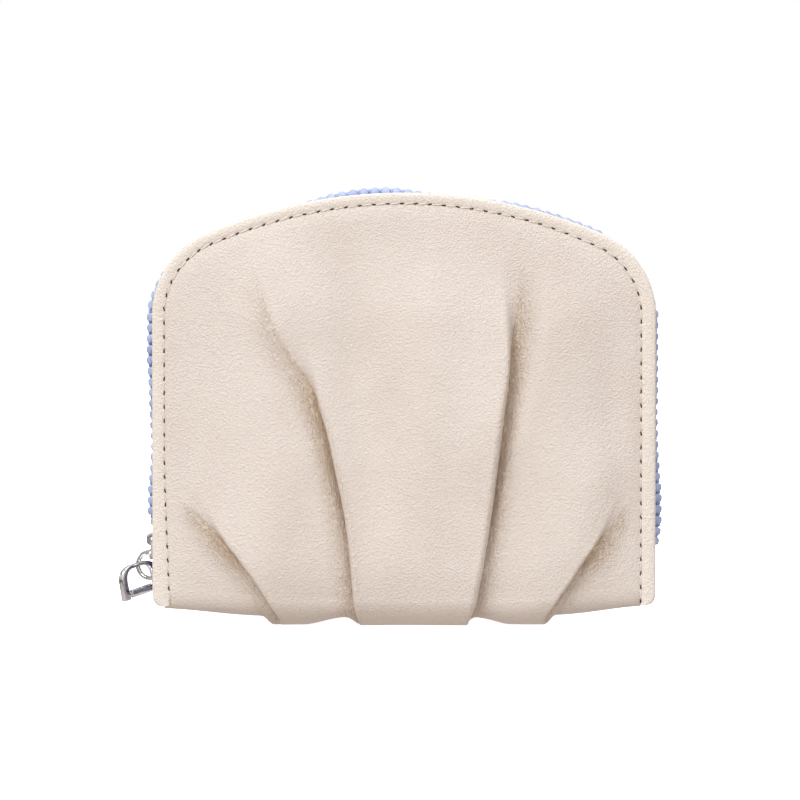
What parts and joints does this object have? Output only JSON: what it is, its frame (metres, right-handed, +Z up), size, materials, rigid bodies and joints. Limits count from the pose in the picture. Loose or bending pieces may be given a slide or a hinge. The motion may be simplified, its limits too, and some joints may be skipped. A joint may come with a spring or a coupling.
{
  "type": "zip-round leather coin purse",
  "caption": "Small upright coin purse with an arched top, a gathered leather front, stitched rims and a zip running round the outside.",
  "frame": {"origin": "on the floor under the middle of the base, on the base's flat underside", "axes": "+Z up, +X to the right of the purse seen from the front, the gathered front faces -Y"},
  "size_m": [0.1242, 0.0279, 0.0999],
  "materials": {
    "cream_leather": "satin",
    "blue_zip": "matte",
    "silver_metal": "polished"
  },
  "bodies": {
    "purse": {"front_panel": "cream_leather", "front_rim": "cream_leather", "back_panel": "cream_leather", "back_rim": "cream_leather", "base": "cream_leather", "zip_front": "blue_zip", "zip_back": "blue_zip", "slider": "silver_metal"},
    "pull": {"pull_tab": "silver_metal", "pull_ring": "silver_metal", "pull_stirrup": "silver_metal"}
  },
  "joints": [
    {"name": "pull_swing", "type": "hinge", "parent": "purse", "child": "pull", "pos_m": [-0.05775, 0, 0.01886], "axis": [0, 1, 0], "range_deg": [0, 120]}
  ]
}
